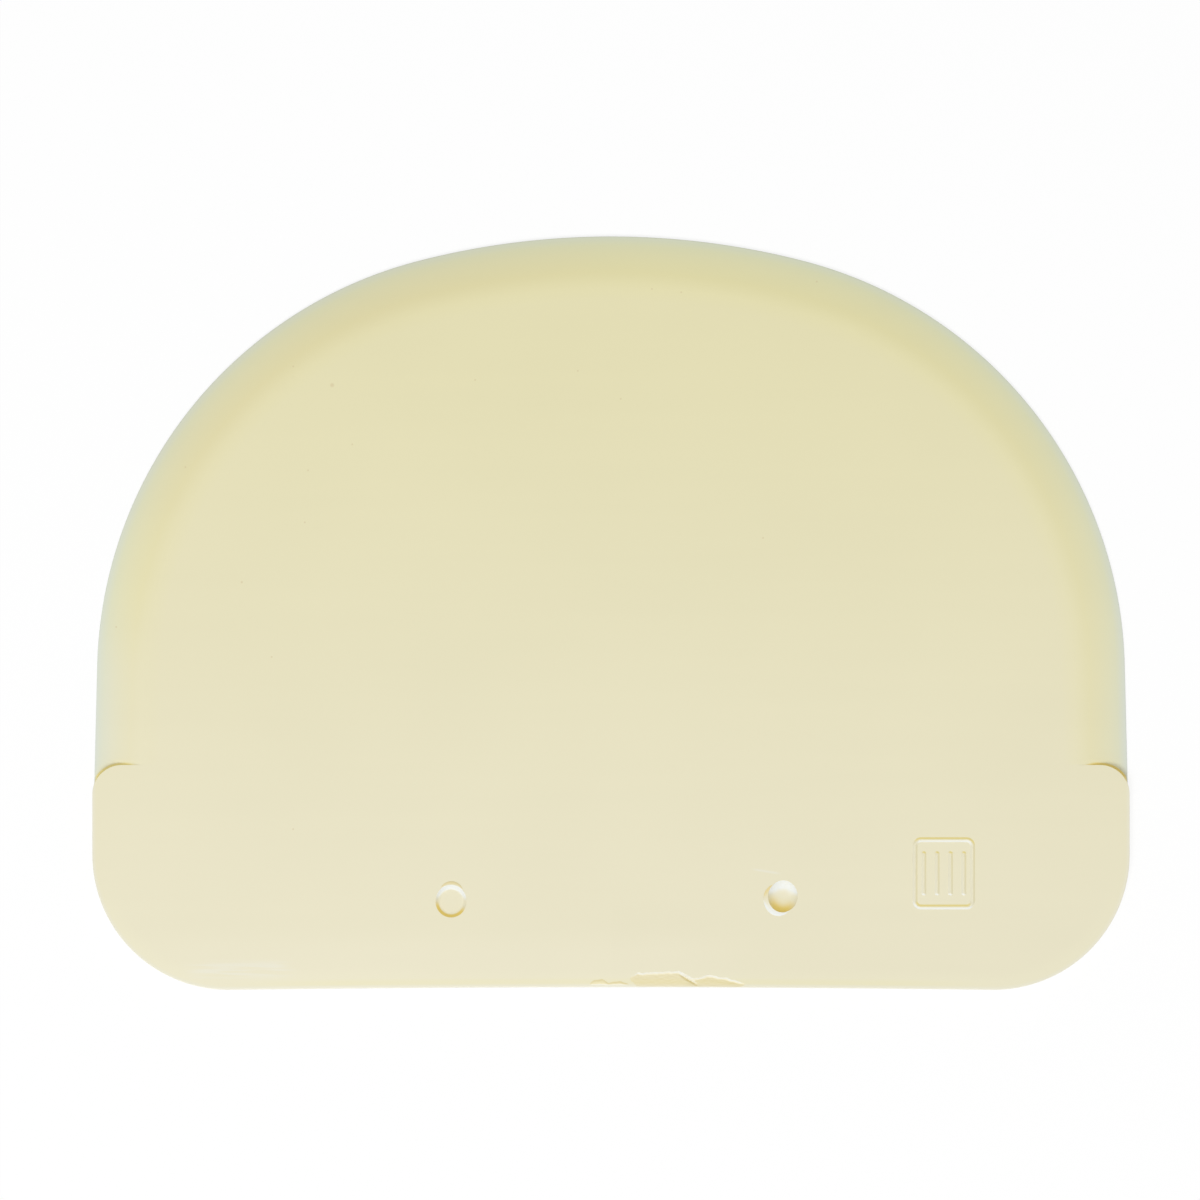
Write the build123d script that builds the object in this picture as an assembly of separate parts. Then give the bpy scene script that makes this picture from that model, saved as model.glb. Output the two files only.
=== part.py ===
from build123d import *
from math import asin, cos, degrees, hypot, radians, sin, sqrt
import os

# Half-round bowl scraper, moulded in one piece of polypropylene.
# It lies on its plain back, where the mould parted, so the rims there are sharp.
# X runs along the straight grip edge, Y from that edge towards the crown, and Z up through
# the face. The origin is under the middle of the plate.

# Whole plate
width = 160.0
height = 116.2
thickness = 2.5

# Outline of the blade: a three-centred arch on slightly leaning sides.
# Both radii follow the width, so the arch keeps its shape when the plate is made wider.
crown_radius_share = 0.742
shoulder_radius_share = 0.4125
side_lean = 1.4
blade_inset = 0.3

# Bevel on the face, all round the arch
lip_thickness = 0.6
lip_round = 0.2
bevel_width = 6.8
bevel_blend_radius = 7.5

# Grip band: the full-thickness strip along the straight edge
grip_height = 35.0
grip_corner_radius = 21.0
grip_draft = 5.0
grip_edge_hollow = 0.4
stop_radius = 4.8
face_rim_round = 0.5

# Left ejector-pin mark: a shallow dish with a flat floor and a burr above it
left_pin_offset = 24.6
left_pin_rise = 13.9
left_mark_radius = 2.4
left_mark_floor_radius = 1.95
left_mark_depth = 0.44
left_burr_radius = 2.95
left_burr_height = 0.14
left_burr_way = 87.0
left_burr_spread = 42.0

# Right ejector-pin mark: a deeper bowl, with a burr round its lower left side
right_pin_offset = 26.5
right_pin_rise = 14.6
right_mark_radius = 2.3
right_mark_depth = 0.72
right_burr_radius = 3.0
right_burr_height = 0.19
right_burr_way = 226.0
right_burr_spread = 76.0

# Raised frame on the face, holding plain ribs
frame_offset = 51.2
frame_rise = 18.1
frame_width = 9.6
frame_height = 11.1
frame_corner_radius = 1.3
frame_line = 0.6
rib_width = 0.55
rib_length = 6.8
rib_count = 4
relief_height = 0.2

# Scoop in the face where the gate was trimmed off the grip edge
gate_offset = 9.5
gate_length = 23.0
gate_reach = 2.8
gate_depth = 0.4

# Everything below is worked out from the sizes above
crown_radius = width * crown_radius_share
shoulder_radius = width * shoulder_radius_share
grip_edge_y = -height / 2
grip_top_y = grip_edge_y + grip_height
crown_y = grip_edge_y + height


def mirrored(point):
    """The point on the other side of the plate's middle."""
    return Vector(-point.X, point.Y)


def arch_face(inset):
    """The blade's outline, drawn inwards by inset, with all its arcs about the same centres."""
    out_x = cos(radians(side_lean))
    out_y = sin(radians(side_lean))
    foot_x = width / 2 - blade_inset
    foot_y = grip_top_y - stop_radius
    crown_centre = Vector(0, crown_y - crown_radius)

    # The shoulder's centre lies on a line beside the leaning side, where the crown arc meets
    # it with no corner: at the difference of the two radii from the crown's centre.
    line_x = foot_x - shoulder_radius * out_x - crown_centre.X
    line_y = foot_y - shoulder_radius * out_y - crown_centre.Y
    along = line_y * out_x - line_x * out_y
    across = hypot(line_x, line_y)
    climb = sqrt((crown_radius - shoulder_radius) ** 2 - across**2 + along**2) - along
    shoulder_centre = crown_centre + Vector(line_x - climb * out_y, line_y + climb * out_x)
    meeting = (shoulder_centre - crown_centre).normalized()

    foot = Vector(foot_x - inset * out_x, foot_y - inset * out_y)
    side_end = shoulder_centre + Vector(out_x, out_y) * (shoulder_radius - inset)
    shoulder_way = (meeting + Vector(out_x, out_y)).normalized()
    shoulder_middle = shoulder_centre + shoulder_way * (shoulder_radius - inset)
    crown_end = crown_centre + meeting * (crown_radius - inset)
    crown_middle = Vector(0, crown_y - inset)

    edges = [
        Line(foot, side_end),
        ThreePointArc(side_end, shoulder_middle, crown_end),
        ThreePointArc(crown_end, crown_middle, mirrored(crown_end)),
        ThreePointArc(mirrored(crown_end), mirrored(shoulder_middle), mirrored(side_end)),
        Line(mirrored(side_end), mirrored(foot)),
        Line(mirrored(foot), foot),
    ]
    return make_face(edges)


def arch_edges(solid, level):
    """The edges at one level that follow the arch, without the straight one at its foot."""
    at_level = solid.edges().filter_by_position(Axis.Z, level, level)
    foot = at_level.sort_by(Axis.Y)[0]
    return [edge for edge in at_level if edge != foot]


def make_blade():
    """The plate with its thin, bevelled lip, ending inside the grip band."""
    lip = extrude(arch_face(0), lip_thickness)
    low = Pos(0, 0, lip_thickness) * arch_face(0)
    high = Pos(0, 0, thickness) * arch_face(bevel_width)
    blade = lip + loft([low, high], ruled=True)
    blade = fillet(arch_edges(blade, thickness), bevel_blend_radius)
    return fillet(arch_edges(blade, lip_thickness), lip_round)


def grip_face():
    """The grip band's outline: small upper corners, wide lower ones and a slightly hollow edge."""
    corner_centre = Vector(width / 2 - grip_corner_radius, grip_edge_y + grip_corner_radius)
    stop_centre = Vector(width / 2 - stop_radius, grip_top_y - stop_radius)
    to_side = Vector(1, 0)
    to_top = Vector(0, 1)

    # The plastic shrank as it cooled, which drew the middle of the grip edge in by a hair. That
    # edge is an arc about a far centre below it, and it runs into the corners with no break.
    far = (corner_centre.X**2 + grip_edge_hollow**2) / (2 * grip_edge_hollow)
    far_centre = Vector(0, corner_centre.Y + grip_edge_hollow - far)
    to_edge = (far_centre - corner_centre).normalized()

    edge_middle = Vector(0, grip_edge_y + grip_edge_hollow)
    edge_end = corner_centre + to_edge * grip_corner_radius
    corner_middle = corner_centre + (to_edge + to_side).normalized() * grip_corner_radius
    side_start = corner_centre + to_side * grip_corner_radius
    side_end = stop_centre + to_side * stop_radius
    stop_middle = stop_centre + (to_side + to_top).normalized() * stop_radius
    stop_end = stop_centre + to_top * stop_radius
    edges = [
        ThreePointArc(mirrored(edge_end), edge_middle, edge_end),
        ThreePointArc(edge_end, corner_middle, side_start),
        Line(side_start, side_end),
        ThreePointArc(side_end, stop_middle, stop_end),
        Line(stop_end, mirrored(stop_end)),
        ThreePointArc(mirrored(stop_end), mirrored(stop_middle), mirrored(side_end)),
        Line(mirrored(side_end), mirrored(side_start)),
        ThreePointArc(mirrored(side_start), mirrored(corner_middle), mirrored(edge_end)),
    ]
    return make_face(edges)


def make_grip():
    """The full-thickness band: small upper corners stop the bevel, large lower ones fit the hand."""
    grip = extrude(grip_face(), thickness, taper=grip_draft)
    return fillet(grip.faces().sort_by(Axis.Z)[-1].edges(), face_rim_round)


def burr(radius, burr_height, way, spread):
    """A disc that leans out of the face, so that a low crescent of its rim shows on one side."""
    lean_rise = burr_height / (1 - cos(radians(spread)))
    disc = Cylinder(radius, thickness / 2, align=(Align.CENTER, Align.CENTER, Align.MAX))
    leaning = Rot(0, -degrees(asin(lean_rise / radius)), 0) * disc
    return Rot(0, 0, way) * Pos(0, 0, burr_height - lean_rise) * leaning


def left_pin_mark(body):
    """The left mark on the face: its burr, and its flat-floored dish with a drawn-in wall."""
    place = Pos(-left_pin_offset, grip_edge_y + left_pin_rise, thickness)
    dish = Cone(
        left_mark_floor_radius,
        left_mark_radius,
        left_mark_depth,
        align=(Align.CENTER, Align.CENTER, Align.MAX),
    )
    rim_cut = Cylinder(
        left_mark_radius,
        left_burr_height,
        align=(Align.CENTER, Align.CENTER, Align.MIN),
    )
    body += place * burr(left_burr_radius, left_burr_height, left_burr_way, left_burr_spread)
    return body - place * dish - place * rim_cut


def right_pin_mark(body):
    """The right mark on the face: its burr, and its round-bottomed bowl."""
    place = Pos(right_pin_offset, grip_edge_y + right_pin_rise, thickness)
    ball_radius = (right_mark_radius**2 + right_mark_depth**2) / (2 * right_mark_depth)
    bowl = Pos(0, 0, ball_radius - right_mark_depth) * Sphere(ball_radius)
    body += place * burr(right_burr_radius, right_burr_height, right_burr_way, right_burr_spread)
    return body - place * bowl


def gate_scoop():
    """A wide round cutter that leans down towards the grip edge, so the scoop fades out inwards."""
    cutter_radius = (gate_length**2 / 4 + gate_depth**2) / (2 * gate_depth)
    cutter = Cylinder(cutter_radius, 2 * cutter_radius, rotation=(90, 0, 0))
    lean = Plane(
        origin=(gate_offset, grip_edge_y + gate_reach, thickness),
        x_dir=(1, 0, 0),
        z_dir=(0, -gate_depth, gate_reach),
    )
    return lean * Pos(0, 0, cutter_radius) * cutter


def raised_frame():
    """A plain rounded frame with upright ribs inside, standing a little above the face."""
    inner_width = frame_width - 2 * frame_line
    inner_height = frame_height - 2 * frame_line
    outline = RectangleRounded(frame_width, frame_height, frame_corner_radius)
    opening = RectangleRounded(inner_width, inner_height, frame_corner_radius - frame_line)
    rib = SlotOverall(rib_length, rib_width, rotation=90)
    ribs = GridLocations(inner_width / rib_count, 0, rib_count, 1) * rib
    sketch = outline - opening + ribs
    relief = extrude(sketch, relief_height)
    return Pos(frame_offset, grip_edge_y + frame_rise, thickness) * relief


def make_scraper():
    """The whole moulding."""
    body = make_blade() + make_grip()
    body = left_pin_mark(body)
    body = right_pin_mark(body)
    body -= gate_scoop()
    body += raised_frame()
    return body


scraper = make_scraper()
os.makedirs("parts", exist_ok=True)
export_step(scraper, "parts/scraper.step")
print("scraper", scraper.bounding_box().size, "volume", round(scraper.volume))
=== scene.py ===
import math

import bmesh
import bpy
from mathutils import Matrix, Vector, noise


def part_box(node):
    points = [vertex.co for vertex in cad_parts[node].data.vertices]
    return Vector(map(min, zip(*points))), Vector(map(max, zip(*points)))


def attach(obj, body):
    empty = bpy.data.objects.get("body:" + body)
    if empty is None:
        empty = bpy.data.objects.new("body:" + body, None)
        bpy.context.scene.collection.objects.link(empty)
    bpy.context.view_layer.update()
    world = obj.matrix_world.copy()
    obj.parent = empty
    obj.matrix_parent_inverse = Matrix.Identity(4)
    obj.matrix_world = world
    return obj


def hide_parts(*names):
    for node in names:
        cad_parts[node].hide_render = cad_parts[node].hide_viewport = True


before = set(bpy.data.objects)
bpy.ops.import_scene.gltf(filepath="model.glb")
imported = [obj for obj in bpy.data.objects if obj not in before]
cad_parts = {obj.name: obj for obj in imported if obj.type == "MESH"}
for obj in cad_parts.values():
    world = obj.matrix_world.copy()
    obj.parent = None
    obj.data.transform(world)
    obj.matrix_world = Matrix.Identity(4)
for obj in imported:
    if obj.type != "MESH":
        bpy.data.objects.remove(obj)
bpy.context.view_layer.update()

# Blade
# The thin half-round part that scrapes, moulded in ivory polypropylene with the grip band.
# Its edge is a three-centred arch on two leaning sides, and a slightly rounded bevel thins the
# plate to a lip all round the arch. The foot of the blade is buried in the grip band.
mm = 0.001
plate_low, plate_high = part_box("scraper")
width = plate_high.x - plate_low.x
grip_edge_y = plate_low.y
crown_y = plate_high.y
relief_height = 0.2 * mm
face_z = plate_high.z - relief_height

crown_radius = 0.742 * width
shoulder_radius = 0.4125 * width
side_lean = math.radians(1.4)
blade_inset = 0.3 * mm
stop_radius = 4.8 * mm
grip_top_y = grip_edge_y + 35 * mm
buried_foot = Vector((-3 * mm, -13 * mm, 0))

lip_thickness = 0.6 * mm
lip_round = 0.2 * mm
lip_slope = math.radians(19)
blend_slope = math.radians(12.5)
blend_start = 5.6 * mm
bevel_end = 7.9 * mm
support_inset = 0.3 * mm
shoulder_steps = 64
crown_steps = 24
lip_step_count = 8
bevel_step_count = 16
merge_reach = 0.01 * mm

side_out = Vector((math.cos(side_lean), math.sin(side_lean), 0))
side_up = Vector((-side_out.y, side_out.x, 0))
foot = Vector((width / 2 - blade_inset, grip_top_y - stop_radius, 0))
crown_centre = Vector((0, crown_y - crown_radius, 0))
to_line = foot - side_out * shoulder_radius - crown_centre
along = to_line.dot(side_up)
centre_reach = crown_radius - shoulder_radius
climb = math.sqrt(centre_reach**2 - to_line.length_squared + along**2) - along
shoulder_centre = crown_centre + to_line + side_up * climb
meeting = (shoulder_centre - crown_centre).normalized()
crown_turn = math.atan2(meeting.x, meeting.y)
shoulder_turn = math.radians(90) - side_lean - crown_turn


def run_to(mesh, corner, place):
    """Draws a straight edge from a corner to a place and returns the new corner."""
    end = mesh.verts.new(place)
    mesh.edges.new((corner, end))
    return end


def sweep_round(mesh, corner, centre, turn, steps):
    """Draws an arc from a corner about a centre, anticlockwise, and returns its last corner."""
    arc = bmesh.ops.spin(
        mesh, geom=[corner], cent=centre, axis=(0, 0, 1), angle=turn, steps=steps, use_merge=False
    )
    return next(part for part in arc["geom_last"] if isinstance(part, bmesh.types.BMVert))


def mirror_and_face(mesh):
    """Mirrors a half outline across the middle of the plate and fills it with one face."""
    bmesh.ops.mirror(
        mesh,
        geom=mesh.verts[:] + mesh.edges[:],
        axis="X",
        matrix=Matrix.Identity(4),
        merge_dist=merge_reach,
    )
    ends = [corner for corner in mesh.verts if len(corner.link_edges) == 1]
    if ends:
        mesh.edges.new(ends)
    bmesh.ops.contextual_create(mesh, geom=mesh.edges[:])
    return mesh.faces[:][0]


def lift(mesh, face, rise):
    """Pulls a wall straight up out of a flat outline and returns the new top face."""
    pulled = bmesh.ops.extrude_face_region(mesh, geom=[face])
    top = next(part for part in pulled["geom"] if isinstance(part, bmesh.types.BMFace))
    bmesh.ops.translate(mesh, verts=top.verts[:], vec=(0, 0, rise))
    return top


def draw_in(mesh, top, steps):
    """Narrows the top face step by step as it rises, which leaves a sloped or rounded shoulder."""
    for inward, rise in steps:
        bmesh.ops.inset_region(
            mesh, faces=[top], thickness=inward, use_even_offset=True, use_boundary=True
        )
        bmesh.ops.translate(mesh, verts=top.verts[:], vec=(0, 0, rise))


def rounding(radius, steep, flat, count):
    """The steps of a convex rounding whose slope eases from steep to flat."""
    slopes = [steep + (flat - steep) * step / count for step in range(count + 1)]
    return [
        (radius * (math.sin(a) - math.sin(b)), radius * (math.cos(b) - math.cos(a)))
        for a, b in zip(slopes, slopes[1:])
    ]


def rise_of(steps):
    """How far a list of steps climbs."""
    return sum(rise for _, rise in steps)


def finished_object(name, mesh):
    """Closes a bmesh, points its faces outwards and puts it in the scene at the origin."""
    bmesh.ops.recalc_face_normals(mesh, faces=mesh.faces[:])
    data = bpy.data.meshes.new(name)
    mesh.to_mesh(data)
    mesh.free()
    made = bpy.data.objects.new(name, data)
    bpy.context.scene.collection.objects.link(made)
    return made


def bevel_profile(count):
    """The bevel's steps: its slope eases a little inwards, then fades into the face."""
    inward = (bevel_end - lip_round) / count
    steps = []
    for step in range(count):
        reach = lip_round + (step + 0.5) * inward
        if reach < blend_start:
            slope = lip_slope + (blend_slope - lip_slope) * reach / blend_start
        else:
            slope = blend_slope * (bevel_end - reach) / (bevel_end - blend_start)
        steps.append((inward, inward * math.tan(slope)))
    return steps


blade_mesh = bmesh.new()
corner = blade_mesh.verts.new(foot + buried_foot)
corner = run_to(blade_mesh, corner, foot)
side_length = (shoulder_centre + side_out * shoulder_radius - foot).length
for share in (0.25, 0.5, 0.75, 1):
    corner = run_to(blade_mesh, corner, foot + side_up * side_length * share)
corner = sweep_round(blade_mesh, corner, shoulder_centre, shoulder_turn, shoulder_steps)
sweep_round(blade_mesh, corner, crown_centre, crown_turn, crown_steps)
blade_top = lift(blade_mesh, mirror_and_face(blade_mesh), lip_thickness - lip_round / 2)

lip_steps = rounding(lip_round, math.radians(90), lip_slope, lip_step_count)
bevel_steps = bevel_profile(bevel_step_count)
bevel_height = face_z - (lip_thickness - lip_round / 2) - rise_of(lip_steps)
bevel_scale = bevel_height / rise_of(bevel_steps)
draw_in(blade_mesh, blade_top, lip_steps)
draw_in(blade_mesh, blade_top, [(inward, rise * bevel_scale) for inward, rise in bevel_steps])
for vertex in blade_top.verts:
    vertex.co.z = face_z
draw_in(blade_mesh, blade_top, [(support_inset, 0)])
blade = finished_object("blade", blade_mesh)

# Grip band
# The full-thickness strip that the hand holds. Its small upper corners stop the bevel, its lower
# corners are wide rounds, its walls have the mould's draft, and the rim of its face is rounded.
# The plastic shrank as it cooled, which drew the middle of the grip edge in by a hair.
grip_corner_radius = 21 * mm
grip_draft = math.radians(5)
rim_round = 0.5 * mm
stop_rim_share = 0.25
edge_hollow = 0.4 * mm
grip_corner_steps = 40
stop_steps = 24
fine_merge = 0.0001 * mm

grip_mesh = bmesh.new()
corner = grip_mesh.verts.new((0, grip_edge_y, 0))
edge_end = width / 2 - grip_corner_radius
for share in (0.2, 0.4, 0.6, 0.8, 1):
    corner = run_to(grip_mesh, corner, (edge_end * share, grip_edge_y, 0))
corner_centre = (edge_end, grip_edge_y + grip_corner_radius, 0)
corner = sweep_round(grip_mesh, corner, corner_centre, math.radians(90), grip_corner_steps)
side_start = grip_edge_y + grip_corner_radius
side_end = grip_top_y - stop_radius
for share in (0.25, 0.5, 0.75, 1):
    side_y = side_start + (side_end - side_start) * share
    corner = run_to(grip_mesh, corner, (width / 2, side_y, 0))
stop_centre = (width / 2 - stop_radius, side_end, 0)
corner = sweep_round(grip_mesh, corner, stop_centre, math.radians(90), stop_steps)
run_to(grip_mesh, corner, (0, grip_top_y, 0))
grip_outline = mirror_and_face(grip_mesh)
for vertex in grip_outline.verts:
    if vertex.co.y < grip_edge_y + mm:
        share = min(1, abs(vertex.co.x) / edge_end)
        vertex.co.y += edge_hollow * (1 - share**2)

grip_top = lift(grip_mesh, grip_outline, 0)
draw_in(grip_mesh, grip_top, [(face_z * math.tan(grip_draft), face_z)])
bmesh.ops.remove_doubles(grip_mesh, verts=grip_mesh.verts[:], dist=fine_merge)

# The rim is wide along the grip edge and sharper where it stops the bevel.
rim_share = grip_mesh.edges.layers.float.new("bevel_weight_edge")
for edge in grip_mesh.edges:
    if min(vertex.co.z for vertex in edge.verts) > face_z - merge_reach:
        middle_y = (edge.verts[0].co.y + edge.verts[1].co.y) / 2
        sharper = min(1, max(0, (middle_y - side_start) / (side_end - side_start)))
        edge[rim_share] = 1 + (stop_rim_share - 1) * sharper
scraper = finished_object("bowl_scraper", grip_mesh)


def apply_modifiers(body):
    """Makes an object's mesh what its modifiers show and removes them."""
    shown = body.evaluated_get(bpy.context.evaluated_depsgraph_get())
    result = bpy.data.meshes.new_from_object(shown)
    body.modifiers.clear()
    body.data = result


rim = scraper.modifiers.new("rim", "BEVEL")
rim.limit_method = "WEIGHT"
rim.width = rim_round
rim.segments = 8
apply_modifiers(scraper)
grip_mesh = bmesh.new()
grip_mesh.from_mesh(scraper.data)
grip_face = max(grip_mesh.faces, key=lambda face: face.calc_center_median().z * face.calc_area())
for vertex in grip_face.verts:
    vertex.co.z = face_z
draw_in(grip_mesh, grip_face, [(support_inset, 0)])
grip_mesh.to_mesh(scraper.data)
grip_mesh.free()


def combine(body, tool, operation):
    """Unites a tool with the moulding or cuts it out, and leaves the moulding one closed mesh."""
    change = body.modifiers.new(operation.lower(), "BOOLEAN")
    change.operation = operation
    change.solver = "EXACT"
    change.object = tool
    apply_modifiers(body)
    bpy.data.objects.remove(tool)


combine(scraper, blade, "UNION")

# Stop feet
# Where the bevel runs into the grip band, a small hollow round joins the two. It grows wider and
# flatter while the wall above it gets lower, and ends where the bevel comes up to the face.
foot_radius = 0.45 * mm
foot_widening = 1.2
foot_run = 4.6 * mm
lowest_step = 0.01 * mm
foot_sink = 0.006 * mm
foot_buried = 0.1 * mm
foot_bottom = 0.3 * mm
foot_clip = 0.12 * mm
stop_turns = 48
run_steps = 24
round_steps = 12
wall_line_radius = stop_radius - face_z * math.tan(grip_draft)
stop_rim = rim_round * stop_rim_share

bevel_line = [(0, lip_thickness - lip_round / 2)]
for inward, rise in lip_steps + [(inward, rise * bevel_scale) for inward, rise in bevel_steps]:
    bevel_line.append((bevel_line[-1][0] + inward, bevel_line[-1][1] + rise))


def level_along(line, reach):
    """Reads a line of pairs at one reach, and keeps its end levels past its ends."""
    for (reach_a, level_a), (reach_b, level_b) in zip(line, line[1:]):
        if reach < reach_b:
            share = max(0, (reach - reach_a) / (reach_b - reach_a))
            return level_a + (level_b - level_a) * share
    return line[-1][1]


def bevel_z(place):
    """The height of the bevel beside the blade's straight side."""
    return level_along(bevel_line, (foot - place).dot(side_out))


def foot_section(origin, outward):
    """The closed outline of the round at one place on the wall's upper line."""
    rounded = (foot_radius + stop_rim) * (1 - math.sin(grip_draft))
    step_height = face_z - bevel_z(origin)
    height = max(step_height, lowest_step)
    sunk = height - step_height + foot_sink
    radius = foot_radius * (1 + foot_widening * max(0, 1 - height / rounded))
    steepest = math.radians(90) - grip_draft
    if height < (radius + stop_rim) * (1 - math.cos(steepest)):
        steepest = math.acos(1 - height / (radius + stop_rim))
    wall_height = height - (radius + stop_rim) * (1 - math.cos(steepest))
    wall_reach = wall_height * math.tan(grip_draft) - stop_rim * (1 - math.sin(steepest))
    floor_reach = wall_reach + radius * math.sin(steepest) - foot_sink
    section = []
    for step in range(round_steps + 1):
        slope = steepest * (1 - step / round_steps)
        point = origin + outward * (floor_reach - radius * math.sin(slope))
        point.z = bevel_z(point) + radius * (1 - math.cos(slope)) - sunk
        section.append(point)
    inner = section[0] - outward * foot_buried
    outer = section[-1] + outward * foot_buried
    outer.z = bevel_z(outer) - foot_buried
    section = [inner] + section + [outer]
    for end in (outer, inner):
        section.append(Vector((end.x, end.y, foot_bottom)))
    return section + [inner]


foot_sections = []
wall_centre = Vector(stop_centre)
for step in range(stop_turns + 1):
    turn = math.radians(90) * step / stop_turns
    outward = Vector((math.cos(turn), math.sin(turn), 0))
    foot_sections.append(foot_section(wall_centre + outward * wall_line_radius, outward))
for step in range(1, run_steps + 1):
    origin = wall_centre + Vector((-foot_run * step / run_steps, wall_line_radius, 0))
    foot_sections.append(foot_section(origin, Vector((0, 1, 0))))

foot_mesh = bmesh.new()
foot_rows = len(foot_sections) - 1
foot_columns = len(foot_sections[0]) - 1
bmesh.ops.create_grid(
    foot_mesh,
    x_segments=foot_rows,
    y_segments=foot_columns,
    size=0.5,
    matrix=Matrix.Diagonal((foot_rows, foot_columns, 1, 1)),
)
for vertex in foot_mesh.verts:
    row = round(vertex.co.x + foot_rows / 2)
    column = round(vertex.co.y + foot_columns / 2)
    vertex.co = foot_sections[row][column]
bmesh.ops.remove_doubles(foot_mesh, verts=foot_mesh.verts[:], dist=fine_merge)
bmesh.ops.bisect_plane(
    foot_mesh,
    geom=foot_mesh.verts[:] + foot_mesh.edges[:] + foot_mesh.faces[:],
    plane_co=foot - side_out * foot_clip,
    plane_no=side_out,
    clear_outer=True,
)
bmesh.ops.holes_fill(foot_mesh, edges=foot_mesh.edges[:])
bmesh.ops.mirror(
    foot_mesh,
    geom=foot_mesh.verts[:] + foot_mesh.edges[:] + foot_mesh.faces[:],
    axis="X",
    matrix=Matrix.Identity(4),
    merge_dist=fine_merge,
)
combine(scraper, finished_object("stop_feet", foot_mesh), "UNION")

# Ejector-pin marks
# Two shallow round dishes where steel pins pushed the warm plate out of its mould. The left one
# has a flat floor and a raised burr above it. The right one was pushed in deeper, as a bowl, with
# a burr round its lower left side.
pin_overrun = 1 * mm
pin_turns = 96
pin_merge = 0.001 * mm


def turned(profile, centre, stretch):
    """A solid turned about an upright axis, from radius and height pairs that start on the axis."""
    mesh = bmesh.new()
    points = [mesh.verts.new((radius, 0, height)) for radius, height in profile]
    for a, b in zip(points, points[1:]):
        mesh.edges.new((a, b))
    bmesh.ops.spin(
        mesh,
        geom=mesh.verts[:] + mesh.edges[:],
        cent=(0, 0, 0),
        axis=(0, 0, 1),
        angle=math.tau,
        steps=pin_turns,
        use_merge=True,
    )
    bmesh.ops.remove_doubles(mesh, verts=mesh.verts[:], dist=pin_merge)
    bmesh.ops.scale(mesh, verts=mesh.verts[:], vec=(1, stretch, 1))
    bmesh.ops.translate(mesh, verts=mesh.verts[:], vec=centre)
    return finished_object("dish_cutter", mesh)


def burr(centre, radius, thick, high, stretch, start, turn):
    """A thin raised crescent beside a dish, which tapers to nothing at both ends."""
    sides = 16
    steps = 48
    least_taper = 0.03
    taper_power = 0.8
    mesh = bmesh.new()
    half_side = Matrix.Rotation(math.pi / sides, 4, "Z")
    ring = bmesh.ops.create_circle(mesh, segments=sides, radius=1, matrix=half_side)["verts"]
    bmesh.ops.rotate(mesh, verts=ring, cent=(0, 0, 0), matrix=Matrix.Rotation(math.pi / 2, 3, "X"))
    bmesh.ops.scale(mesh, verts=ring, vec=(thick / 2, 1, high))
    bmesh.ops.translate(mesh, verts=ring, vec=(radius, 0, 0))
    bmesh.ops.spin(
        mesh,
        geom=mesh.verts[:] + mesh.edges[:],
        cent=(0, 0, 0),
        axis=(0, 0, 1),
        angle=turn,
        steps=steps,
        use_merge=False,
    )
    bmesh.ops.holes_fill(mesh, edges=mesh.edges[:], sides=sides)
    for vertex in mesh.verts:
        share = math.atan2(vertex.co.y, vertex.co.x) % math.tau / turn
        taper = max(least_taper, math.sin(math.pi * min(1, share)) ** taper_power)
        reach = math.hypot(vertex.co.x, vertex.co.y)
        drawn = (radius + (reach - radius) * taper) / reach
        vertex.co.x *= drawn
        vertex.co.y *= drawn
        vertex.co.z *= taper
    bmesh.ops.rotate(
        mesh, verts=mesh.verts[:], cent=(0, 0, 0), matrix=Matrix.Rotation(start, 3, "Z")
    )
    bmesh.ops.scale(mesh, verts=mesh.verts[:], vec=(1, stretch, 1))
    bmesh.ops.translate(mesh, verts=mesh.verts[:], vec=centre)
    return finished_object("burr", mesh)


left_pin = Vector((-24.6 * mm, grip_edge_y + 13.9 * mm, face_z))
left_dish = left_pin - Vector((0, 0.12 * mm, 0))
left_stretch = 1.03
left_profile = [
    (0, -0.44 * mm),
    (1.7 * mm, -0.44 * mm),
    (1.84 * mm, -0.43 * mm),
    (1.96 * mm, -0.39 * mm),
    (2.06 * mm, -0.32 * mm),
    (2.32 * mm, -0.06 * mm),
    (2.38 * mm, -0.015 * mm),
    (2.46 * mm, 0.02 * mm),
    (2.5 * mm, pin_overrun),
    (0, pin_overrun),
]
left_burr = burr(
    left_pin,
    radius=2.35 * mm,
    thick=1.1 * mm,
    high=0.15 * mm,
    stretch=left_stretch,
    start=math.radians(38),
    turn=math.radians(98),
)

right_pin = Vector((26.5 * mm, grip_edge_y + 14.6 * mm, face_z))
right_stretch = 1.09
right_reach = 2.22 * mm
right_depth = 0.72 * mm
bowl_power = 3.8
bowl_rings = 14
bowl_shares = [0] + [(step + 0.5) / bowl_rings for step in range(bowl_rings + 2)]
right_profile = [
    (right_reach * share, right_depth * (share**bowl_power - 1)) for share in bowl_shares
]
right_profile += [(right_profile[-1][0], pin_overrun), (0, pin_overrun)]
right_burr = burr(
    right_pin,
    radius=2.15 * mm,
    thick=2.1 * mm,
    high=0.19 * mm,
    stretch=right_stretch,
    start=math.radians(132),
    turn=math.radians(162),
)
combine(scraper, left_burr, "UNION")
combine(scraper, right_burr, "UNION")
combine(scraper, turned(left_profile, left_dish, left_stretch), "DIFFERENCE")
combine(scraper, turned(right_profile, right_pin, right_stretch), "DIFFERENCE")

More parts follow.
